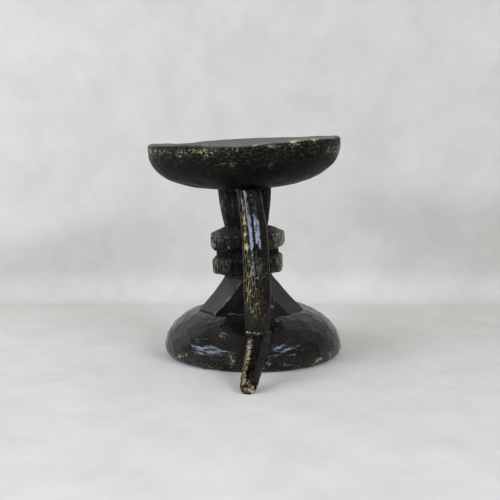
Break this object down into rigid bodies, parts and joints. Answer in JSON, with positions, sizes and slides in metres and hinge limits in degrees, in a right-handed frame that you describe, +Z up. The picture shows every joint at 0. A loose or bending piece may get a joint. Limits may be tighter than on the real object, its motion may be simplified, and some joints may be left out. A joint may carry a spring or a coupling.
{
  "type": "carved wooden stool",
  "caption": "Carved wooden stool with a dished round seat, grooved faceted collar, splayed struts, domed base and a curved prop leg with a toe on the floor.",
  "frame": {"origin": "middle of the domed base's underside, on the floor", "axes": "+Z up; -Y towards the prop leg and its toe; +X to the right of a viewer who faces the prop leg. The post and seat lean 2.5 degrees towards -X."},
  "size_m": [0.2844, 0.3761, 0.3226],
  "materials": {
    "polished_black_wood": "hand-polished, almost black, worn to ochre on the arrises",
    "dry_brown_wood": "dry, knife-cut, dark brown",
    "rubbed_grey_wood": "rubbed matt, grey-black"
  },
  "bodies": {
    "root": {"seat_dish": "polished_black_wood", "centre_post": "dry_brown_wood", "upper_collar": "dry_brown_wood", "collar_spacer": "dry_brown_wood", "lower_collar": "dry_brown_wood", "front_left_strut": "rubbed_grey_wood", "front_right_strut": "rubbed_grey_wood", "rear_strut": "rubbed_grey_wood", "domed_base": "polished_black_wood", "prop_leg": "polished_black_wood", "prop_foot": "polished_black_wood"}
  },
  "joints": []
}
